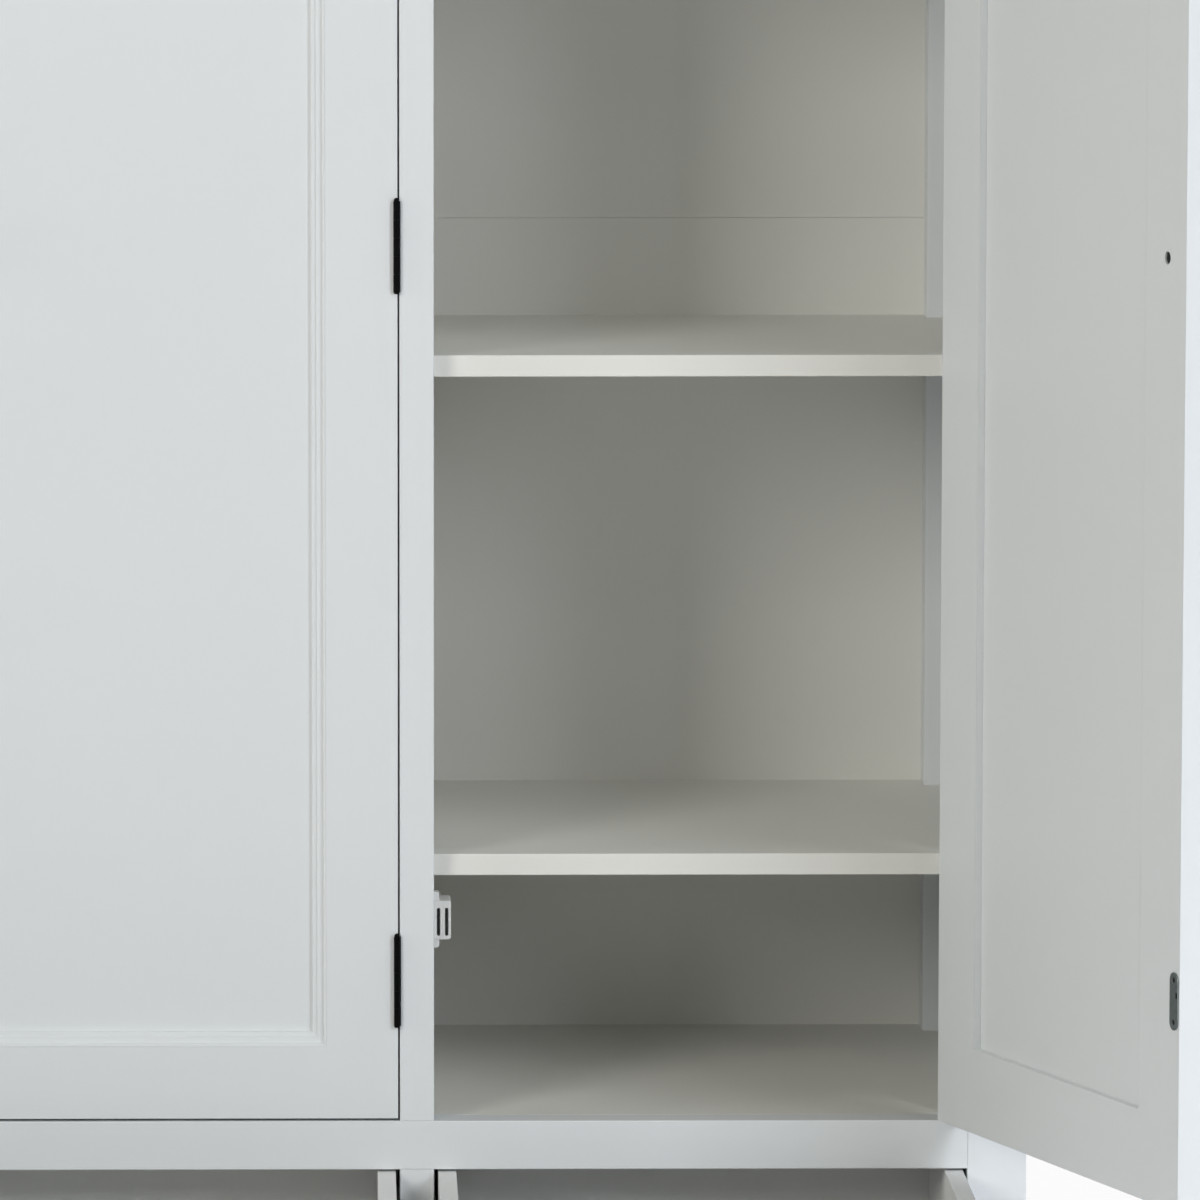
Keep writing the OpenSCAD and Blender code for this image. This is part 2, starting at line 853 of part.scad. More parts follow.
module door_leaf() {
    x1 = leaf_let_in;
    x0 = x1 - leaf_t;
    difference() {
        union() {
            board([x0, 0, 0], [x1, leaf_w, hinge_h]);
            for (index = [1 : 2 : knuckles - 1]) {
                knuckle_ring(index);
                knuckle_step(index, x0, x1, -pin_out + pin_r + 0.3);
            }
        }
        pin_bore();
    }
}

module frame_leaf() {
    x0 = -door_gap - leaf_let_in;
    x1 = x0 + leaf_t;
    difference() {
        union() {
            board([x0, 0, 0], [x1, leaf_w, hinge_h]);
            for (index = [0 : 2 : knuckles - 1]) {
                knuckle_ring(index);
                knuckle_step(index, pin_in - knuckle_r, x1, -pin_out);
            }
        }
        pin_bore();
    }
}

// Pin with a flat button below and a domed one above
module hinge_pin() {
    button_r = knuckle_r * 0.85;
    button_h = 1;
    dome_foot = 0.7;
    pin_l = hinge_h + 0.2;
    translate([pin_in, -pin_out, -0.1])
        rotate_extrude()
            union() {
                translate([0, -1]) square([pin_r, pin_l + 2]);
                polygon([
                    [0, 0], [button_r, 0], [button_r, 0.4 - button_h],
                    [button_r - 0.4, -button_h], [0, -button_h]
                ]);
                translate([0, pin_l]) square([button_r, dome_foot]);
                translate([0, pin_l + dome_foot])
                    intersection() {
                        circle(button_r);
                        square(button_r);
                    }
            }
}

module at_hinges() {
    for (z = hinge_levels)
        translate([0, 0, z - hinge_h / 2]) children();
}

module hinge_frame_leaves() {
    color(black_metal)
        for (door = [0 : 2])
            door_place(door) at_hinges() frame_leaf();
}

module hinge_pins() {
    color(black_metal)
        for (door = [0 : 2])
            door_place(door) at_hinges() hinge_pin();
}

module door_hinge_leaves(door) {
    color(black_metal) door_rest(door) at_hinges() door_leaf();
}

// Knobs. A knob is turned about +Z, its foot on z = 0 and its stud below.
module knob(stud_l) {
    r = knob_d / 2;
    foot = knob_foot_d / 2;
    rotate_extrude() {
        difference() {
            union() {
                square([foot, 2.5]);
                square([foot * 0.55, knob_out - 6]);
                intersection() {
                    translate([0, knob_out - 9]) square([r, 9]);
                    translate([r - 5, knob_out - 5]) circle(5);
                }
                translate([0, knob_out - 9]) square([r - 4, 7]);
                intersection() {
                    translate([0, knob_out - 3 * r]) circle(3 * r, $fn = 180);
                    translate([0, knob_out - 4]) square([r - 3, 5]);
                }
            }
            translate([foot * 0.55 + 4, 6.5]) circle(4);
        }
        translate([0, -stud_l]) square([stud_r, stud_l + 1]);
    }
}

module door_knob(door) {
    color(black_metal) door_rest(door)
        translate([door_w - knob_in, 0, knob_h])
            rotate([90, 0, 0]) knob(door_t - 5);
}

// Keeper plate on the inner face of a door, with a slot and two countersunk holes
module keeper_plate() {
    r = keeper_w / 2;
    difference() {
        union() {
            linear_extrude(keeper_t) union() {
                square([keeper_w, keeper_h - keeper_w], center = true);
                for (end = [-1, 1])
                    translate([0, end * (keeper_h / 2 - r)]) circle(r);
            }
            translate([0, 0, keeper_t])
                linear_extrude(keeper_raise)
                    square([keeper_w * 0.78, keeper_land], center = true);
        }
        for (end = [-1, 1])
            translate([0, end * keeper_holes / 2, 0]) {
                translate([0, 0, -1]) cylinder(r = 1.7, h = keeper_t + 2);
                translate([0, 0, keeper_t / 2]) cylinder(r1 = 1.7, r2 = 3.3, h = keeper_t);
            }
        translate([keeper_w / 2 - 3, -7.5, -1]) cube([2.2, 5, keeper_t + 3]);
    }
}

module door_keeper(door) {
    color(bright_steel) door_rest(door)
        translate([door_w - keeper_ins[door], door_t, keeper_levels[door]])
            rotate([-90, 0, 0]) keeper_plate();
}

module left_door_frame() { door_frame(0); }
module left_door_panel() { door_panel(0); }
module left_door_moulding() { door_moulding(0); }
module left_door_hinge_leaves() { door_hinge_leaves(0); }
module left_door_knob() { door_knob(0); }
module left_door_keeper() { door_keeper(0); }
module centre_door_frame() { door_frame(1); }
module centre_door_panel() { door_panel(1); }
module centre_door_moulding() { door_moulding(1); }
module centre_door_hinge_leaves() { door_hinge_leaves(1); }
module centre_door_knob() { door_knob(1); }
module centre_door_keeper() { door_keeper(1); }
module right_door_frame() { door_frame(2); }
module right_door_panel() { door_panel(2); }
module right_door_moulding() { door_moulding(2); }
module right_door_hinge_leaves() { door_hinge_leaves(2); }
module right_door_knob() { door_knob(2); }
module right_door_keeper() { door_keeper(2); }

// Drawers, drawn closed and pulled out to their rest place

module drawer_place() {
    translate([0, -body_d / 2 - drawer_rest, 0]) children();
}

// Tails of one side: trapezia from the shoulder to the lap, as a solid
module dovetail_row(x0, x1) {
    pitch = (side_high - side_low) / dovetails;
    root = pitch * 0.3;
    tip = root + tail_l * tan(dovetail_slope);
    for (index = [0 : dovetails - 1])
        translate([x0, 0, side_low + pitch * (index + 0.5)])
            rotate([90, 0, 90])
                linear_extrude(x1 - x0)
                    polygon([
                        [front_t, -root], [dovetail_lap, -tip], [dovetail_lap, tip], [front_t, root]
                    ]);
}

module drawer_tails(index) {
    span = drawer_span(index);
    l = span[0] + drawer_side_gap;
    r = span[1] - drawer_side_gap;
    dovetail_row(l, l + drawer_side_t);
    dovetail_row(r - drawer_side_t, r);
}

module drawer_bottom_space(index) {
    span = drawer_span(index);
    inner = drawer_side_gap + drawer_side_t - drawer_groove;
    z = side_low + drawer_bottom_up;
    board([span[0] + inner, front_t - drawer_groove, z],
          [span[1] - inner, drawer_l, z + drawer_bottom_t]);
}

module drawer_back_space(index) {
    span = drawer_span(index);
    inner = drawer_side_gap + drawer_side_t - drawer_groove;
    board([span[0] + inner, drawer_l - drawer_back_t - 8, side_low + drawer_bottom_up + drawer_bottom_t],
          [span[1] - inner, drawer_l - 8, side_high - 8]);
}

// Front with eased edges and sockets for the tails
module drawer_front(index) {
    span = drawer_span(index);
    color(paint) drawer_place()
        difference() {
            lengthwise([span[0] + front_gap, 0, front_low], [span[1] - front_gap, front_t, side_high]);
            drawer_tails(index);
            drawer_bottom_space(index);
            for (x = drawer_knob_places(index))
                translate([x, -1, knob_level]) rotate([-90, 0, 0])
                    cylinder(r = stud_r + 0.1, h = front_t + 2);
        }
}

module drawer_box(index) {
    span = drawer_span(index);
    color(raw_wood) drawer_place() {
        difference() {
            union() {
                for (x = [span[0] + drawer_side_gap, span[1] - drawer_side_gap - drawer_side_t])
                    board([x, front_t, side_low], [x + drawer_side_t, drawer_l, side_high]);
                drawer_tails(index);
            }
            drawer_bottom_space(index);
            drawer_back_space(index);
        }
        drawer_back_space(index);
    }
}

module drawer_bottom(index) {
    color(raw_wood) drawer_place() drawer_bottom_space(index);
}

knob_level = (front_low + side_high) / 2;
function drawer_knob_places(index) =
    let (span = drawer_span(index), w = span[1] - span[0])
    index == 0 ? [span[0] + w / 4, span[1] - w / 4] : [(span[0] + span[1]) / 2];

module drawer_knobs(index) {
    color(black_metal) drawer_place()
        for (x = drawer_knob_places(index))
            translate([x, 0, knob_level]) rotate([90, 0, 0]) knob(front_t + 4);
}

module wide_drawer_front() { drawer_front(0); }
module wide_drawer_box() { drawer_box(0); }
module wide_drawer_bottom() { drawer_bottom(0); }
module wide_drawer_knobs() { drawer_knobs(0); }
module narrow_drawer_front() { drawer_front(1); }
module narrow_drawer_box() { drawer_box(1); }
module narrow_drawer_bottom() { drawer_bottom(1); }
module narrow_drawer_knobs() { drawer_knobs(1); }

// Plinth and cornice

// Three mitred lengths round the front and sides, from a section whose x runs
// outwards from the carcass and whose y runs up
module wrapped_lengths(reach, height) {
    in_carcass() {
        intersection() {
            translate([-half_w - reach, 0, 0])
                rotate([90, 0, 90]) linear_extrude(body_w + 2 * reach)
                    mirror([1, 0]) children();
            linear_extrude(height)
                polygon([
                    [-half_w, 0], [-half_w - reach, -reach], [half_w + reach, -reach], [half_w, 0]
                ]);
        }
        for (side = [0, 1])
            mirror([side, 0, 0])
                intersection() {
                    translate([half_w, body_d, 0])
                        rotate([90, 0, 0]) linear_extrude(body_d + reach) children();
                    linear_extrude(height)
                        polygon([
                            [half_w, 0], [half_w + reach, -reach], [half_w + reach, body_d], [half_w, body_d]
                        ]);
                }
    }
}

module plinth_section() {
    union() {
        square([plinth_t, plinth_h - plinth_r]);
        square([plinth_t - plinth_r, plinth_h]);
        translate([plinth_t - plinth_r, plinth_h - plinth_r]) circle(plinth_r);
    }
}

// Bearer from the front board to the back board, notched under the bottom rail
module plinth_bearer() {
    in_carcass()
        translate([-bearer_w / 2, 0, 0])
            rotate([90, 0, 90])
                linear_extrude(bearer_w)
                    polygon([
                        [0, 0], [y_back_rail, 0], [y_back_rail, z_base - floor_t],
                        [rail_d, z_base - floor_t], [rail_d, plinth_h], [0, plinth_h]
                    ]);
}

module plinth() {
    color(paint) {
        wrapped_lengths(plinth_t, plinth_h) plinth_section();
        plinth_bearer();
        in_carcass()
            board([-x_back_post, y_back_rail, 0], [x_back_post, y_back, side_rail_low]);
    }
}

// Fillet below, a quarter cove, and a square band on top
cornice_foot = 10;
cornice_band = 16;
cornice_step = 4;
cornice_web = 8;

module cornice_section() {
    cove_r = cornice_out - cornice_step - cornice_web;
    band_low = cornice_h - cornice_band;
    union() {
        square([cornice_web, cornice_h]);
        square([cornice_web + 4, cornice_foot]);
        translate([0, band_low]) square([cornice_out, cornice_h - band_low]);
        difference() {
            translate([0, band_low - cove_r]) square([cornice_web + cove_r, cove_r + 1]);
            translate([cornice_web + cove_r, band_low - cove_r]) circle(cove_r);
        }
    }
}

module cornice() {
    color(paint)
        translate([0, 0, z_all - cornice_h])
            wrapped_lengths(cornice_out, cornice_h) cornice_section();
}

left_front_post();
right_front_post();
left_back_post();
right_back_post();
door_mullion();
drawer_mullion();
top_rail();
mid_rail();
bottom_rail();
back_rails();
left_side();
right_side();
bay_partition();
drawer_divider();
back_sheet_upper();
back_sheet_lower();
roof_board();
cornice();
plinth();
bay_floor();
base_board();
shelf_low();
shelf_middle();
shelf_high();
shelf_cleats();
hat_shelf();
hanging_rail();
rail_sockets();
drawer_runners();
catch_bodies();
catch_poles();
hinge_frame_leaves();
hinge_pins();
left_door_frame();
left_door_panel();
left_door_moulding();
left_door_hinge_leaves();
left_door_knob();
left_door_keeper();
centre_door_frame();
centre_door_panel();
centre_door_moulding();
centre_door_hinge_leaves();
centre_door_knob();
centre_door_keeper();
right_door_frame();
right_door_panel();
right_door_moulding();
right_door_hinge_leaves();
right_door_knob();
right_door_keeper();
wide_drawer_front();
wide_drawer_box();
wide_drawer_bottom();
wide_drawer_knobs();
narrow_drawer_front();
narrow_drawer_box();
narrow_drawer_bottom();
narrow_drawer_knobs();
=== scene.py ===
# %% [markdown]
# A painted wardrobe, dressed for a studio picture. The joinery is already
# there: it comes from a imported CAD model, as named objects for the boards,
# the hinges, the knobs and the rest. This notebook adds what drawings leave
# out, which is paint, metal, plastic, screws, finer mouldings and light.

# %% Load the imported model
import json
import math

import bmesh
import bpy
from mathutils import Matrix, Vector
from mathutils.geometry import tessellate_polygon


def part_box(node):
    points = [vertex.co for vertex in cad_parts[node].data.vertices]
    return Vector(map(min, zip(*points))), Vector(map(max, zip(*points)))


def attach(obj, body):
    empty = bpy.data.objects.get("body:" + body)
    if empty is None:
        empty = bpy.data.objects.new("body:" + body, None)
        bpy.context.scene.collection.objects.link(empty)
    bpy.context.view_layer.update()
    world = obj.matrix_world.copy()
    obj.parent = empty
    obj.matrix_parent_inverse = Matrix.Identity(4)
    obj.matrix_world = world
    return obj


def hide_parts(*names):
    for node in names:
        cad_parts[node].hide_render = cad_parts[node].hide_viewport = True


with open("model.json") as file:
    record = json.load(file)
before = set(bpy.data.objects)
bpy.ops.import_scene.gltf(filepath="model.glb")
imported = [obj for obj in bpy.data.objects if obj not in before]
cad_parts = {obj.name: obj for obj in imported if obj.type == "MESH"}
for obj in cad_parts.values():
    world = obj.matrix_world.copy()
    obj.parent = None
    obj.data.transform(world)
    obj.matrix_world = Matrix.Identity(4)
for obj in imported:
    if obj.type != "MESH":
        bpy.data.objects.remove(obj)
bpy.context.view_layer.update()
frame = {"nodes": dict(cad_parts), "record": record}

nodes = frame["nodes"]

# %% [markdown]
# Whatever is added here ends as a new object. One that isn't linked to a
# collection would be in the file but not in the picture, so one helper makes
# and links it.

# %% A new object
def new_object(name, data):
    made = bpy.data.objects.new(name, data)
    bpy.context.collection.objects.link(made)
    return made


print("objects can be added")

# %% [markdown]
# The camera comes next, so that everything made later can be judged in the
# picture. The picture is taken from far away with a long lens: the verticals
# hardly lean and the bay looks shallow. The axis of the lens is left of the
# middle, as in the right-hand part of a wider frame. No single camera fits
# every edge of the doors and shelves, so the place, the direction and the
# focal length are a compromise, found beforehand by least squares. Here the
# viewing direction is turned into a rotation, and the shift slides the frame
# over the axis of the lens.

# %% The camera
IMAGE_SIZE = 1200
SENSOR = 36.0
FOCAL_PIXELS = 7634.55
AXIS_PIXELS = (372.1, 543.46)
CAMERA_PLACE = (0.16667, -6.52697, 1.48225)
PITCH, YAW, ROLL = 0.1011, 0.003, -0.0012
FAR_CLIP = 60

ahead = Vector((math.sin(YAW) * math.cos(PITCH), math.cos(YAW) * math.cos(PITCH), -math.sin(PITCH)))
level_right = ahead.cross(Vector((0, 0, 1))).normalized()
level_up = level_right.cross(ahead)
right = math.cos(ROLL) * level_right + math.sin(ROLL) * level_up
up = right.cross(ahead)

camera_data = bpy.data.cameras.new("studio_camera")
camera_data.sensor_width = SENSOR
camera_data.lens = FOCAL_PIXELS / IMAGE_SIZE * SENSOR
camera_data.shift_x = 0.5 - AXIS_PIXELS[0] / IMAGE_SIZE
camera_data.shift_y = AXIS_PIXELS[1] / IMAGE_SIZE - 0.5
camera_data.clip_end = FAR_CLIP
camera = new_object("studio_camera", camera_data)
facing = Matrix((right, up, -ahead)).transposed().to_4x4()
camera.matrix_world = Matrix.Translation(CAMERA_PLACE) @ facing
bpy.context.scene.camera = camera
print("lens", round(camera_data.lens, 1), "mm")

# %% [markdown]
# Materials are sums and products of patterns, and those read best as plain
# Python. The class below wraps the output of a shader node. Adding or
# multiplying two of them adds a Math node, so that a line such as
# base * (1 - dirt) builds the nodes that it describes.

# %% Sockets that can be added and multiplied
class Signal:
    """One output of a node, which can stand in an expression."""

    def __init__(self, graph, socket):
        self.graph = graph
        self.socket = socket

    def _with(self, operation, first, second):
        return self.graph.node("ShaderNodeMath", {"operation": operation}, {0: first, 1: second})

    def __add__(self, other):
        return self._with("ADD", self, other)

    def __radd__(self, other):
        return self._with("ADD", other, self)

    def __sub__(self, other):
        return self._with("SUBTRACT", self, other)

    def __rsub__(self, other):
        return self._with("SUBTRACT", other, self)

    def __mul__(self, other):
        return self._with("MULTIPLY", self, other)

    def __rmul__(self, other):
        return self._with("MULTIPLY", other, self)


class Graph:
    """The node tree of one material, with a single way to add any node."""

    def __init__(self, tree):
        self.tree = tree

    def node(self, kind, settings=None, inputs=None, out=0):
        made = self.tree.nodes.new(kind)
        for key, value in (settings or {}).items():
            if key == "stops":
                self.set_stops(made.color_ramp, value)
            else:
                setattr(made, key, value)
        for key, value in (inputs or {}).items():
            self.feed(made.inputs[key], value)
        return Signal(self, made.outputs[out])

    def feed(self, socket, value):
        if isinstance(value, Signal):
            self.tree.links.new(value.socket, socket)
        else:
            socket.default_value = value

    def set_stops(self, ramp, stops):
        while len(ramp.elements) < len(stops):
            ramp.elements.new(0.5)
        for element, (place, shade) in zip(ramp.elements, stops):
            element.position = place
            element.color = (shade, shade, shade, 1)


print("signals ready")

# %% [markdown]
# Every finish starts in the same way: a new material with one Principled
# shader and the object's own coordinates in metres. Object coordinates
# travel with a door when it swings, so the pattern stays on the paint. Most
# finishes also have slightly soft edges and a fine relief. Rounding the mesh
# itself would cost many faces, so a Bevel node rounds only the light on the
# edges, and a Bump node adds the relief to that.

# %% A new material
COLOUR_A, COLOUR_B, COLOUR_OUT = 6, 7, 2        # sockets of a Mix node for colours


def new_material(name, **constants):
    material = bpy.data.materials.new(name)
    material.use_nodes = True
    graph = Graph(material.node_tree)
    shader = material.node_tree.nodes["Principled BSDF"]
    for key, value in constants.items():
        shader.inputs[key.replace("_", " ").title().replace("Ior", "IOR")].default_value = value
    return material, graph, shader


def place_on_object(graph, scale=(1, 1, 1)):
    coords = graph.node("ShaderNodeTexCoord", out="Object")
    return graph.node("ShaderNodeMapping", None, {"Vector": coords, "Scale": scale})


def noise(graph, vector, scale, detail=3.0, roughness=0.5):
    """Noise between 0 and 1 with a mean of about one half."""
    return graph.node("ShaderNodeTexNoise", {"noise_dimensions": "3D"},
                      {"Vector": vector, "Scale": scale, "Detail": detail, "Roughness": roughness})


def blend_colours(graph, share, low, high):
    return graph.node("ShaderNodeMix", {"data_type": "RGBA"},
                      {"Factor": share, COLOUR_A: (*low, 1), COLOUR_B: (*high, 1)}, out=COLOUR_OUT)


def soft_edges(graph, radius):
    return graph.node("ShaderNodeBevel", {"samples": 4}, {"Radius": radius})


def relief(graph, height, strength, depth, edges=None):
    inputs = {"Strength": strength, "Distance": depth, "Height": height}
    if edges is not None:
        inputs["Normal"] = edges
    return graph.node("ShaderNodeBump", None, inputs)


print("materials can be made")

# %% [markdown]
# The paint is taken to be a sprayed satin white. Up close such a coat has a
# faint cloudiness in the colour, a fine orange peel that breaks up the
# reflections, a trace of upright grain from the wood, and softened edges.
# The cloud is a large noise and the grain a stretched one, both on the colour
# and the roughness. The peel is a small noise, and only in the relief. The
# mouldings have the same paint with crisp edges.

# %% Satin paint
def satin_paint(name, low, high, roughness, peel=0.06, edge=0.0009):
    material, graph, shader = new_material(name, specular_ior_level=0.5)
    space = place_on_object(graph)
    cloud = noise(graph, space, scale=2.6, detail=2.0)
    grain = noise(graph, place_on_object(graph, scale=(1, 1, 0.06)), scale=420, detail=2.0)
    orange = noise(graph, space, scale=900, detail=1.0)
    tint = cloud * 0.8 + grain * 0.2
    graph.feed(shader.inputs["Base Color"], blend_colours(graph, tint, low, high))
    graph.feed(shader.inputs["Roughness"], roughness + 0.10 * cloud + 0.04 * grain)
    height = orange * 0.7 + grain * 0.5
    edges = soft_edges(graph, edge) if edge else None
    graph.feed(shader.inputs["Normal"], relief(graph, height, strength=peel, depth=0.0004, edges=edges))
    return material


WHITE_COAT = ((0.754, 0.785, 0.80), (0.788, 0.815, 0.83), 0.36)
outer_paint = satin_paint("outer_paint", *WHITE_COAT)
moulding_paint = satin_paint("moulding_paint", *WHITE_COAT, edge=0)
inner_paint = satin_paint("inner_paint", (0.79, 0.785, 0.742), (0.835, 0.83, 0.79), 0.46, peel=0.1)
drawer_paint = satin_paint("drawer_paint", (0.76, 0.765, 0.755), (0.80, 0.805, 0.80), 0.44, peel=0.1)
print("four paints")

# %% [markdown]
# Hinges and knobs are steel with a black powder coat. The coat is almost
# black and a little pebbled, and in rubbed spots a trace brighter and less
# smooth. The bolts of the knobs have the same black with a gloss.

# %% Black metal
BLACK_LOW, BLACK_HIGH = (0.0006, 0.0006, 0.0008), (0.0022, 0.0022, 0.0025)


def coated_metal(name, gloss, roughness):
    material, graph, shader = new_material(name, specular_ior_level=gloss)
    space = place_on_object(graph)
    pebbles = noise(graph, space, scale=2400, detail=1.0)
    rubbed = noise(graph, space, scale=60)
    graph.feed(shader.inputs["Base Color"], blend_colours(graph, rubbed, BLACK_LOW, BLACK_HIGH))
    graph.feed(shader.inputs["Roughness"], roughness + 0.2 * rubbed)
    edges = soft_edges(graph, radius=0.0004)
    graph.feed(shader.inputs["Normal"], relief(graph, pebbles, strength=0.25, depth=0.00008, edges=edges))
    return material


black_coat = coated_metal("black_coat", 0.05, 0.34)
black_gloss = coated_metal("black_gloss", 0.16, 0.05)
print("two kinds of black metal")

# %% [markdown]
# The other metals are bare or plated. They differ only in colour, in gloss
# and in the way that their fine lines run, so one function makes them all:
# soft clouds in the colour, and lines in the roughness and the relief. The
# rail is the brightest. The keeper plates are duller, and the screws in
# keepers and hinges and the poles of the catches are almost black.

# %% Bare and plated metal
def bare_metal(name, low, high, roughness, streak):
    material, graph, shader = new_material(name, metallic=1.0)
    cloud = noise(graph, place_on_object(graph), scale=240)
    lines = noise(graph, place_on_object(graph, scale=streak), scale=300, detail=2.0)
    graph.feed(shader.inputs["Base Color"], blend_colours(graph, cloud, low, high))
    graph.feed(shader.inputs["Roughness"], roughness + 0.14 * lines)
    edges = soft_edges(graph, radius=0.0003)
    graph.feed(shader.inputs["Normal"], relief(graph, lines, strength=0.08, depth=0.0001, edges=edges))
    return material


zinc_plate = bare_metal("zinc_plate", (0.50, 0.51, 0.52), (0.62, 0.63, 0.65), 0.26, (1, 1, 0.1))
rail_chrome = bare_metal("rail_chrome", (0.60, 0.61, 0.62), (0.66, 0.67, 0.68), 0.08, (0.04, 1, 1))
keeper_steel = bare_metal("keeper_steel", (0.13, 0.152, 0.15), (0.25, 0.28, 0.275), 0.26, (1, 1, 0.2))
screw_steel = bare_metal("screw_steel", (0.018, 0.020, 0.020), (0.06, 0.065, 0.065), 0.22, (1, 1, 1))
print("four bare and plated metals")

# %% [markdown]
# Two finishes are left. The catches are moulded in a white plastic, which is
# smoother and a little warmer than the paint. The drawer runners are bare
# wood. Its grain is noise that is stretched a long way down the board. A ramp
# cuts it into bands for the colour, and the plain noise gives the relief.

# %% Plastic and bare wood
PLASTIC_LOW, PLASTIC_HIGH = (0.80, 0.80, 0.78), (0.84, 0.84, 0.82)
WOOD_DARK, WOOD_PALE = (0.46, 0.33, 0.20), (0.66, 0.52, 0.35)


def moulded_plastic(name):
    material, graph, shader = new_material(name, specular_ior_level=0.5)
    sheen = noise(graph, place_on_object(graph), scale=700)
    graph.feed(shader.inputs["Base Color"], blend_colours(graph, sheen, PLASTIC_LOW, PLASTIC_HIGH))
    graph.feed(shader.inputs["Roughness"], 0.3 + 0.12 * sheen)
    graph.feed(shader.inputs["Normal"], soft_edges(graph, radius=0.0005))
    return material


def bare_wood(name):
    material, graph, shader = new_material(name, specular_ior_level=0.35)
    down_the_board = place_on_object(graph, scale=(1, 0.05, 1))
    rings = noise(graph, down_the_board, scale=160, detail=4.0, roughness=0.6)
    bands = graph.node("ShaderNodeValToRGB", {"stops": [(0.35, 0.0), (0.52, 0.8), (0.7, 1.0)]},
                       {"Fac": rings})
    graph.feed(shader.inputs["Base Color"], blend_colours(graph, bands, WOOD_DARK, WOOD_PALE))
    graph.feed(shader.inputs["Roughness"], 0.68 - 0.12 * rings)
    edges = soft_edges(graph, radius=0.0006)
    graph.feed(shader.inputs["Normal"], relief(graph, rings, strength=0.3, depth=0.0003, edges=edges))
    return material


white_plastic = moulded_plastic("white_plastic")
runner_wood = bare_wood("runner_wood")
print("plastic and wood")

# %% [markdown]
# The CAD objects keep their shapes and only get a finish. The record says
# which slot each node belongs to, so one table from slot to material dresses
# the whole wardrobe. Only the keeper plates and the poles of the catches
# differ from their slot, because their steel is darker than the zinc.

# %% Dress the CAD nodes
finishes = {
    "white_paint": outer_paint,
    "inner_paint": inner_paint,
    "drawer_paint": drawer_paint,
    "runner_wood": runner_wood,
    "black_metal": black_coat,
    "zinc_steel": zinc_plate,
    "rail_chrome": rail_chrome,
    "white_plastic": white_plastic,
}
for entry in frame["record"]["subparts"]:
    node = nodes[entry["node"]]
    node.data.materials.clear()
    finish = finishes[entry["material_slot"]]
    if entry["node"].endswith("_keeper"):
        finish = keeper_steel
    if entry["node"] == "catch_poles":
        finish = screw_steel
    node.data.materials.append(finish)
print("dressed", len(nodes), "nodes")

# %% [markdown]
# Every piece on a door is worked out on the closed door, where all its sides
# are square to the world, and then turned about the pin by the angle at which
# the door stands. The pins and the angles are in the record of the joints.

# %% Doors, closed and as they stand
joints = {joint["name"]: joint for joint in frame["record"]["behaviour"]["joints"]}
DOORS = {"left_door": 0.0, "centre_door": 0.0, "right_door": -joints["right_door_hinge"]["range_deg"][0]}


def turned_about_pin(door, point, backwards=False):
    pin = Vector(joints[door + "_hinge"]["pos_m"])
    angle = math.radians(DOORS[door]) * (-1 if backwards else 1)
    return pin + Matrix.Rotation(angle, 3, "Z") @ (Vector(point) - pin)


def turned_direction(door, direction):
    return Matrix.Rotation(math.radians(DOORS[door]), 3, "Z") @ Vector(direction)


def closed_points(door, node):
    return [turned_about_pin(door, v.co, True) for v in nodes[node].data.vertices]


def corners_of(points):
    low = Vector([min(p[k] for p in points) for k in range(3)])
    high = Vector([max(p[k] for p in points) for k in range(3)])
    return low, high


print({door: round(angle, 1) for door, angle in DOORS.items()})

# %% [markdown]
# The planted moulding round each panel shows as three fine shadow lines. Its
# section is a reading of those shadows: each step up towards the stile cuts
# off the light from the side, so it is taken to be a rounded bead at the
# stile and two narrow flats, with a step down after each. The CAD keeps a
# plain version. The section is a list of points in millimetres, in from the
# stile and below the outer face.

# %% Section of the moulding
MM = 1000                       # in a metre
STILE_GAP = 0.06                # between the stile and the back of the ring
BEAD_STARTS, BEAD_ROUND = 0.1, 1.9
FLATS = ((3.8, 2.3, 6.8), (5.7, 7.5, 10.5))      # depth of a flat, where it starts, where it ends
FLAT_FALL = 0.12                # each flat falls a little towards the panel
EDGE_ROUND = 0.6
WALL_LEAN = 0.02
FLAT_FOOT, PANEL_FOOT = 0.3, 0.2                 # height of the little slope at the foot of a wall
PANEL_STARTS = 11.4


def quarter_round(across, depth, radius, steps):
    """Points of an outer round that starts level at the given place."""
    angles = [math.pi / 2 * i / steps for i in range(1, steps + 1)]
    return [(across + radius * math.sin(a), depth + radius * (1 - math.cos(a))) for a in angles]


def moulding_profile(panel_depth):
    points = [(STILE_GAP, 0.0)] + quarter_round(BEAD_STARTS, 0.0, BEAD_ROUND, 6)
    for depth, starts, ends in FLATS:
        points.append((points[-1][0] + WALL_LEAN, depth - FLAT_FOOT))
        points += [(starts, depth), (ends, depth + FLAT_FALL)]
        points += quarter_round(ends, depth + FLAT_FALL, EDGE_ROUND, 3)
    points.append((points[-1][0] + WALL_LEAN, panel_depth - PANEL_FOOT))
    return points + [(PANEL_STARTS, panel_depth), (STILE_GAP, panel_depth)]


print("section from", STILE_GAP, "to", PANEL_STARTS, "mm")

# %% [markdown]
# The section is swept round the opening with mitred corners, which gives one
# closed ring. A curve with a bevel could do the same, but its mitres are hard
# to keep true, and here each point of the section only needs its four
# corners. The ring is worked out in the box of the plain moulding and takes
# its place. Its paint has no Bevel node, because that node would round the
# steps away.

# %% Mouldings round the panels
OVER_PANEL = 0.03
STEP_ANGLE = 32                 # degrees, a steeper edge stays crisp


def join_rings(mesh, low, high):
    """A smooth band of four-sided faces between two rings of points."""
    for i in range(len(low)):
        j = (i + 1) % len(low)
        mesh.faces.new((low[i], low[j], high[j], high[i])).smooth = True


def finished_mesh(mesh, name, finish):
    data = bpy.data.meshes.new(name)
    mesh.to_mesh(data)
    mesh.free()
    data.materials.append(finish)
    return data


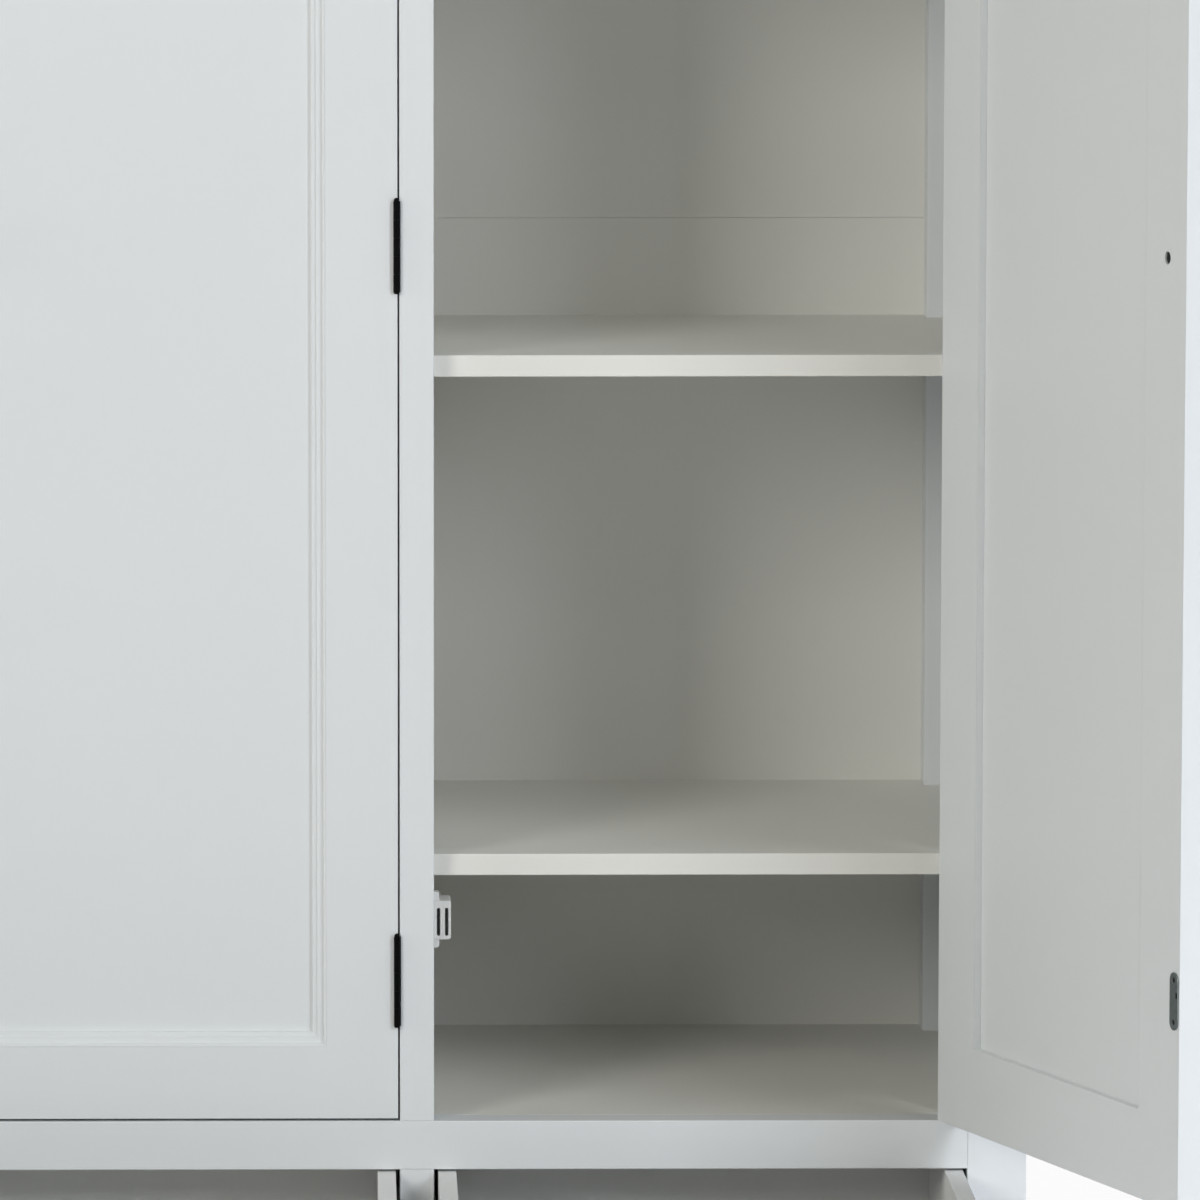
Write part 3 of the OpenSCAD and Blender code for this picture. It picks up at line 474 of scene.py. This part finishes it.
def sweep_moulding(door):
    low, high = corners_of(closed_points(door, door + "_moulding"))
    mesh = bmesh.new()
    rows = []
    for across, depth in moulding_profile((high.y - low.y) * MM - OVER_PANEL):
        inset, y = across / MM, low.y + depth / MM
        corners = ((low.x + inset, low.z + inset), (high.x - inset, low.z + inset),
                   (high.x - inset, high.z - inset), (low.x + inset, high.z - inset))
        rows.append([mesh.verts.new(turned_about_pin(door, (x, y, z))) for x, z in corners])
    for first, second in zip(rows, rows[1:] + rows[:1]):
        join_rings(mesh, first, second)
    bmesh.ops.recalc_face_normals(mesh, faces=mesh.faces)
    data = finished_mesh(mesh, door + "_panel_moulding", moulding_paint)
    data.set_sharp_from_angle(angle=math.radians(STEP_ANGLE))
    ring = new_object(door + "_panel_moulding", data)
    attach(ring, door)
    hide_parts(door + "_moulding")


for door in DOORS:
    sweep_moulding(door)
print("mouldings on", ", ".join(DOORS))

# %% [markdown]
# A drawing leaves the screws out, and a wardrobe has dozens. Each one is a
# low dome with a cross recess. Cutting the cross with a Boolean would leave
# long thin faces, and a hole in the middle of a dome is easy when its rings
# are written by hand: the outer ring is round, and the inner ring follows the
# outline of the cross, so the two are joined by a band of triangles, and the
# cross then gets walls and a floor.

# %% One screw head
HEAD_SIDES = 48
HEAD_RINGS = (1.0, 0.97, 0.85, 0.7)             # shares of the radius, like the values below
CROSS_ARM, CROSS_HALF, CROSS_DEEP = 0.52, 0.13, 0.45
FOOT_SHARE, CROWN_SHARE = 0.8, 0.75             # of the cross at its floor, and of the rise at its rim


def cross_outline(arm, half):
    """Twelve corners of a plus sign, counter-clockwise."""
    corners = []
    for turn in range(4):
        for x, y in ((half, half), (half, arm), (-half, arm)):
            angle = math.pi / 2 * turn
            corners.append((x * math.cos(angle) - y * math.sin(angle),
                            x * math.sin(angle) + y * math.cos(angle)))
    return corners


def ring_of(mesh, radius, height, sides):
    angles = [2 * math.pi * i / sides for i in range(sides)]
    return [mesh.verts.new((radius * math.cos(a), radius * math.sin(a), height)) for a in angles]


def screw_mesh(name, radius, rise, sink, finish):
    """A head that looks along +Z, its rim a little below z = 0."""
    mesh = bmesh.new()
    rings = []
    for share in HEAD_RINGS:
        lift = -sink if share == 1.0 else rise * (1 - share ** 2)
        rings.append(ring_of(mesh, radius * share, lift, HEAD_SIDES))
    for low, high in zip(rings, rings[1:]):
        join_rings(mesh, low, high)
    cross = cross_outline(CROSS_ARM * radius, CROSS_HALF * radius)
    crown = rise * CROWN_SHARE
    floor = crown - CROSS_DEEP * radius
    lip = [mesh.verts.new((x, y, crown)) for x, y in cross]
    foot = [mesh.verts.new((x * FOOT_SHARE, y * FOOT_SHARE, floor)) for x, y in cross]
    around = rings[-1] + lip
    flat = [[Vector((v.co.x, v.co.y, 0)) for v in loop] for loop in (rings[-1], lip)]
    for corners in tessellate_polygon(flat):
        mesh.faces.new([around[i] for i in corners])
    for i in range(len(cross)):
        j = (i + 1) % len(cross)
        mesh.faces.new((lip[i], lip[j], foot[j], foot[i]))
    mesh.faces.new(foot)
    bmesh.ops.recalc_face_normals(mesh, faces=mesh.faces)
    return finished_mesh(mesh, name, finish)


keeper_screw = screw_mesh("keeper_screw", radius=0.0027, rise=0.0004, sink=0.0006, finish=screw_steel)
catch_screw = screw_mesh("catch_screw", radius=0.0030, rise=0.0012, sink=0.0002, finish=zinc_plate)
print("two kinds of head,", len(keeper_screw.polygons), "faces each")

# %% [markdown]
# Two screws hold each keeper plate. Their places are worked out on the closed
# door from the box of the plate, and turned about the pin like the mouldings.
# A head is made once, looking along Z, and each screw is an object that shows
# the same mesh at its own place, with its cross turned a little differently.

# %% Screws in the keepers
KEEPER_HOLES = 0.033
KEEPER_FACE = 0.0006
FIRST_TURN = 0.5


def standing(place, facing, turn=0.0):
    """Bring what was made along +Z to a place, looking the given way."""
    return (Matrix.Translation(place) @ facing.to_track_quat("Z", "Y").to_matrix().to_4x4()
            @ Matrix.Rotation(turn, 4, "Z"))


def drive_screw(name, data, place, facing, turn, body):
    screw = new_object(name, data)
    screw.matrix_world = standing(place, Vector(facing).normalized(), turn)
    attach(screw, body)


driven = 0
for door in DOORS:
    low, high = corners_of(closed_points(door, door + "_keeper"))
    middle, inner_face = (low + high) / 2, high.y
    for end in (-1, 1):
        spot = (middle.x, inner_face - KEEPER_FACE, middle.z + end * KEEPER_HOLES / 2)
        drive_screw(f"{door}_keeper_screw_{driven % 2 + 1}", keeper_screw, turned_about_pin(door, spot),
                    turned_direction(door, (0, 1, 0)), FIRST_TURN + driven, door)
        driven += 1
print(driven, "screws in keepers")

# %% [markdown]
# The recess on the inner face of each door holds the head of the bolt that
# carries the knob. It is round, so it is lathed: an outline of radius and
# height is turned about Z. Its dome stays just under the face of the door.

# %% Knob bolts
BOLT_RADIUS, BOLT_LONG, BOLT_UNDER, BOLT_DOME = 0.00485, 0.0038, 0.0006, 0.0011
BOLT_SIDES = 40
DOME_ANGLES = (0, 0.4, 0.8, 1.15, 1.4)
RIM_ANGLE = 35                  # degrees, a steeper edge stays crisp


def lathed(name, outline, sides, finish):
    """Turn an outline of (radius, height) pairs about Z, first and last on the axis."""
    mesh = bmesh.new()
    rings = [ring_of(mesh, radius, height, sides) for radius, height in outline[1:-1]]
    ends = [mesh.verts.new((0, 0, outline[0][1])), mesh.verts.new((0, 0, outline[-1][1]))]
    for i in range(sides):
        j = (i + 1) % sides
        mesh.faces.new((ends[0], rings[0][j], rings[0][i]))
        mesh.faces.new((ends[1], rings[-1][i], rings[-1][j]))
    for low, high in zip(rings, rings[1:]):
        join_rings(mesh, low, high)
    bmesh.ops.recalc_face_normals(mesh, faces=mesh.faces)
    data = finished_mesh(mesh, name, finish)
    data.set_sharp_from_angle(angle=math.radians(RIM_ANGLE))
    return data


dome = [(BOLT_RADIUS * math.cos(a), BOLT_DOME * math.sin(a)) for a in DOME_ANGLES]
bolt_outline = [(0, -BOLT_LONG), (BOLT_RADIUS, -BOLT_LONG)] + dome + [(0, BOLT_DOME)]
bolt_head = lathed("bolt_head", bolt_outline, BOLT_SIDES, black_gloss)
for door in DOORS:
    low, high = corners_of(closed_points(door, door + "_knob"))
    inner_face = corners_of(closed_points(door, door + "_frame"))[1].y
    spot = ((low.x + high.x) / 2, inner_face - BOLT_UNDER - BOLT_DOME, (low.z + high.z) / 2)
    bolt = new_object(door + "_knob_bolt", bolt_head)
    bolt.matrix_world = standing(turned_about_pin(door, spot), turned_direction(door, (0, 1, 0)))
    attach(bolt, door)
print("a bolt in each door")

# %% [markdown]
# The slot of a keeper plate is black. What fills it can't be made out, so the
# black is painted shade: a small near-black box with a bevel, which stays just
# under the face of the plate.

# %% Painted shade in the slots
SLOT_IN, SLOT_UP = 0.0030, 0.0050
SLOT_WIDE, SLOT_HIGH, SLOT_DEEP = 0.0021, 0.0049, 0.0009
SHADE_BLOCK_CLEAR, SHADE_BLOCK_SUNK, SHADE_BLOCK_BEVEL = 0.00005, 0.0004, 0.0002


def keeper_shade_block(door):
    low, high = corners_of(closed_points(door, door + "_keeper"))
    free_side = 1 if door == "left_door" else -1
    edge = high.x if free_side > 0 else low.x
    mesh = bmesh.new()
    bmesh.ops.create_cube(mesh, size=1)
    bmesh.ops.scale(mesh, vec=(SLOT_WIDE, SLOT_DEEP, SLOT_HIGH), verts=mesh.verts)
    bmesh.ops.bevel(mesh, geom=mesh.edges[:], offset=SHADE_BLOCK_BEVEL, segments=2, affect="EDGES")
    middle = Vector((edge - free_side * (SLOT_IN - SLOT_WIDE / 2 - SHADE_BLOCK_CLEAR),
                     high.y - SHADE_BLOCK_SUNK - SLOT_DEEP / 2, (low.z + high.z) / 2 + SLOT_UP))
    for vert in mesh.verts:
        vert.co = turned_about_pin(door, middle + vert.co)
    # The near-black box is painted shade: it stands for the dark inside the slot.
    shade_block = new_object(door + "_keeper_spring", finished_mesh(mesh, door + "_keeper_spring", black_coat))
    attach(shade_block, door)


for door in DOORS:
    keeper_shade_block(door)
print("a spring behind each slot")

# %% [markdown]
# Each catch is held by two pan-head screws, one above its body and one below,
# through the flange that lies against the mullion or the block.

# %% Screws in the catches
CATCH_FLANGE_THICK, CATCH_WIDE = 0.0047, 0.0144
CATCH_HALF_HIGH, SCREW_FROM_MIDDLE = 0.0234, 0.0199
FLANGE_BACK = 0.007
ENDS_AND_TURNS = (("low", -1, 0.3), ("high", 1, 1.1))

catch_low, catch_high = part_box("catch_bodies")
mullion_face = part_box("door_mullion")[1].x
flange_y = catch_low.y + FLANGE_BACK
pair_left = catch_low.x + CATCH_WIDE - CATCH_FLANGE_THICK
doors_meet = joints["wide_drawer_slide"]["pos_m"][0]
flanges = (
    ("mullion_catch", mullion_face + CATCH_FLANGE_THICK, catch_low.z + CATCH_HALF_HIGH, 1),
    ("left_pair_catch", pair_left, catch_high.z - CATCH_HALF_HIGH, -1),
    ("right_pair_catch", 2 * doors_meet - pair_left, catch_high.z - CATCH_HALF_HIGH, 1),
)
for name, x, z, side in flanges:
    for end, way, turn in ENDS_AND_TURNS:
        drive_screw(f"{name}_screw_{end}", catch_screw, (x, flange_y, z + way * SCREW_FROM_MIDDLE),
                    (side, 0, 0), turn, "carcass")
print("six screws in catches")

# %% [markdown]
# The screws of a butt hinge are countersunk flush, because the two leaves
# have to fold flat on each other with a fifth of a millimetre between them.
# So these heads stand up less than a tenth of a millimetre. All the heads of
# one body are copied into one mesh, which keeps the list of pieces short.

# %% Screws in the hinge leaves
LEAF_SCREWS = ((0.0105, -0.0255), (0.0065, 0.0), (0.0105, 0.0255))
PIN_TO_DOOR_LEAF, PIN_TO_FRAME_LEAF = 0.0014, 0.0016
HALF_HINGE, BUTTON_BELOW, DOME_ABOVE = 0.0375, 0.0011, 0.00305
LEAF_TURN = 0.4

leaf_screw = screw_mesh("leaf_screw", radius=0.0030, rise=0.00007, sink=0.0002, finish=screw_steel)
pins_low, pins_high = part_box("hinge_pins")
low_hinge = pins_low.z + BUTTON_BELOW + HALF_HINGE
high_hinge = pins_high.z - DOME_ABOVE - HALF_HINGE
front_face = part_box("door_mullion")[0].y
HINGE_SIDE = {"left_door": -1, "centre_door": 1, "right_door": 1}


def leaf_heads(name, doors, from_pin, looking, body, swing):
    """All the heads in the leaves of one body, as one mesh."""
    heads = bmesh.new()
    for door in doors:
        side = HINGE_SIDE[door]
        pin_x = joints[door + "_hinge"]["pos_m"][0]
        facing = Vector((side * looking, 0, 0))
        if swing:
            facing = turned_direction(door, facing)
        for hinge in (low_hinge, (low_hinge + high_hinge) / 2, high_hinge):
            for turn, (back, up_by) in enumerate(LEAF_SCREWS):
                spot = Vector((pin_x + side * from_pin, front_face + back, hinge + up_by))
                if swing:
                    spot = turned_about_pin(door, spot)
                start = len(heads.verts)
                heads.from_mesh(leaf_screw)
                heads.verts.ensure_lookup_table()
                place = standing(spot, facing, LEAF_TURN + turn)
                bmesh.ops.transform(heads, matrix=place, verts=heads.verts[start:])
    piece = new_object(name, finished_mesh(heads, name, screw_steel))
    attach(piece, body)


for door in DOORS:
    leaf_heads(door + "_leaf_screws", [door], PIN_TO_DOOR_LEAF, 1, door, True)
leaf_heads("frame_leaf_screws", list(DOORS), PIN_TO_FRAME_LEAF, -1, "carcass", False)
print("heads in the leaves, hinges at", round(low_hinge, 4), round(high_hinge, 4))

# %% [markdown]
# The stage is one pale floor. It catches the shadow of the plinth and the
# drawers, and throws light up into them. Where the camera looks past the
# wardrobe it should see plain white. More light would bleach the paint, so
# the Light Path node does it: the floor is lifted to white for the camera,
# and the world is white for the camera and in reflections, and dark otherwise.

# %% Floor and world
FLOOR_REACH = 14.0
BELOW_FEET = 0.0005
WHITENED = 0.96                 # how far the floor is lifted to white for the camera


def pale_floor():
    mesh = bpy.data.meshes.new("studio_floor")
    reach = FLOOR_REACH
    mesh.from_pydata([(-reach, -reach, 0), (reach, -reach, 0), (reach, reach, 0), (-reach, reach, 0)],
                     [], [(0, 1, 2, 3)])
    floor = new_object("studio_floor", mesh)
    floor.location = (0, 0, -BELOW_FEET)
    material, graph, shader = new_material("pale_floor", base_color=(0.82, 0.82, 0.82, 1), roughness=0.9)
    camera_ray = graph.node("ShaderNodeLightPath", out="Is Camera Ray")
    lifted = graph.node("ShaderNodeEmission", None, {"Color": (1, 1, 1, 1), "Strength": 1.0})
    end = material.node_tree.nodes["Material Output"]
    plain = Signal(graph, shader.outputs[0])
    mixed = graph.node("ShaderNodeMixShader", None, {0: camera_ray * WHITENED, 1: plain, 2: lifted})
    graph.feed(end.inputs["Surface"], mixed)
    mesh.materials.append(material)


def white_world():
    world = bpy.data.worlds.new("studio_white")
    world.use_nodes = True
    graph = Graph(world.node_tree)
    for node in list(world.node_tree.nodes):
        world.node_tree.nodes.remove(node)
    camera_ray = graph.node("ShaderNodeLightPath", out="Is Camera Ray")
    glossy_ray = Signal(graph, camera_ray.socket.node.outputs["Is Glossy Ray"])
    clear_ray = Signal(graph, camera_ray.socket.node.outputs["Is Transmission Ray"])
    seen = graph.node("ShaderNodeMath", {"operation": "ADD", "use_clamp": True},
                      {0: camera_ray + glossy_ray, 1: clear_ray})
    sky = graph.node("ShaderNodeBackground", None, {"Color": (1, 1, 1, 1), "Strength": seen})
    end = world.node_tree.nodes.new("ShaderNodeOutputWorld")
    graph.feed(end.inputs["Surface"], sky)
    bpy.context.scene.world = world


pale_floor()
white_world()
print("stage set")

# %% [markdown]
# The light is soft and comes from large boxes. The strongest stands at the
# front right and one nearly as strong at the front left, and the difference
# between them draws the steps of the mouldings. A third, far out on the left,
# reaches the inner face of the open door. Weak ones hang above, stand at the
# right side, and lie low on the right under the open door. Candidate lamps
# were rendered one by one beforehand, their powers were fitted to the tones
# wanted on the doors and in the bay, and the result was then changed.

# %% Lamps
def soft_box(name, place, aim, width, height, watts, colour=(1, 1, 1)):
    data = bpy.data.lights.new(name, "AREA")
    data.shape = "RECTANGLE"
    data.size, data.size_y = width, height
    data.energy = watts
    data.color = colour
    lamp = new_object(name, data)
    lamp.location = place
    away = Vector(place) - Vector(aim)
    lamp.rotation_euler = away.to_track_quat("Z", "Y").to_euler()
    lamp.visible_camera = False


COOL = (0.90, 0.935, 1.0)
WARM = (1.0, 0.97, 0.88)
FAINTLY_WARM = (1.0, 0.98, 0.93)
BAY = (0.3, -0.1, 1.0)
DOOR_FRONT, DOOR_MIDDLE, DOOR_FOOT = (0.7, -0.4, 1.0), (0.7, -0.3, 1.0), (0.72, -0.25, 0.3)
soft_box("right_front", (3.0, -4.0, 2.2), BAY, 1.2, 1.6, 85, COOL)
soft_box("left_front", (-2.2, -3.9, 2.2), BAY, 1.4, 1.6, 70, FAINTLY_WARM)
soft_box("left_side", (-4.4, -1.2, 1.8), DOOR_FRONT, 1.4, 2.0, 35, WARM)
soft_box("front_high", (0.2, -5.0, 4.2), BAY, 2.4, 1.6, 18, WARM)
soft_box("top", (0.2, -2.5, 4.5), BAY, 1.6, 1.2, 6, WARM)
soft_box("right_side", (3.6, -0.4, 1.6), DOOR_MIDDLE, 1.6, 2.2, 20, COOL)
soft_box("low_right", (1.9, -1.1, 0.25), DOOR_FOOT, 0.8, 0.3, 3.5)
print("lamps on")

# %% [markdown]
# Blender's usual view bends the tones, as film does. The Standard view leaves
# them alone, so that a colour shows about as it is written.

# %% Picture settings
bpy.context.scene.view_settings.view_transform = "Standard"
print("view", bpy.context.scene.view_settings.view_transform)
